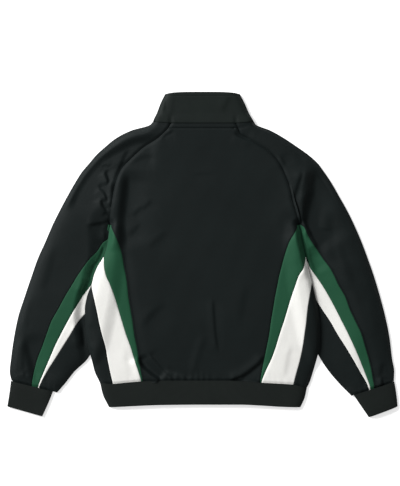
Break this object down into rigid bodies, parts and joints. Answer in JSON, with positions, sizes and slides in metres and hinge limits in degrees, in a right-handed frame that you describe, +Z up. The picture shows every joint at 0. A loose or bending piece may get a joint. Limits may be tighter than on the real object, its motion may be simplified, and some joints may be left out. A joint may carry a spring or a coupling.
{
  "type": "track jacket",
  "caption": "Track jacket laid flat with its back up: stand collar, raglan sleeves, curved contrast strips, ribbed cuffs and hem, front zip.",
  "frame": {"origin": "centre of the bounding box on the surface that the jacket lies on", "axes": "+Y towards the collar, +X towards the right sleeve in the back view, +Z up out of the jacket's back"},
  "size_m": [0.938, 0.781, 0.0188],
  "materials": {
    "black_cloth": "smooth black polyester knit with a soft sheen",
    "green_cloth": "dark green polyester knit with a soft sheen",
    "white_cloth": "off-white polyester knit",
    "collar_cloth": "doubled black polyester knit",
    "rib_knit": "black ribbed knit",
    "zip_tape": "black woven tape",
    "zip_metal": "black coated metal"
  },
  "bodies": {
    "jacket": {"back_panel": "black_cloth", "front_left": "black_cloth", "front_right": "black_cloth", "side_panel_left": "black_cloth", "side_panel_right": "black_cloth", "sleeve_left": "black_cloth", "sleeve_right": "black_cloth", "undersleeve_left": "black_cloth", "undersleeve_right": "black_cloth", "body_green_left": "green_cloth", "body_green_right": "green_cloth", "sleeve_green_left": "green_cloth", "sleeve_green_right": "green_cloth", "body_white_left": "white_cloth", "body_white_right": "white_cloth", "sleeve_white_left": "white_cloth", "sleeve_white_right": "white_cloth", "collar": "collar_cloth", "hem_band": "rib_knit", "cuff_left": "rib_knit", "cuff_right": "rib_knit", "zip_tape_left": "zip_tape", "zip_tape_right": "zip_tape", "zip_chain": "zip_metal", "zip_slider": "zip_metal"},
    "pull_tab": {"zip_pull_tab": "zip_metal"}
  },
  "joints": [
    {"name": "pull_tab_hinge", "type": "hinge", "parent": "jacket", "child": "pull_tab", "pos_m": [0, 0.334, 0.00175], "axis": [1, 0, 0], "range_deg": [0, 170]}
  ]
}
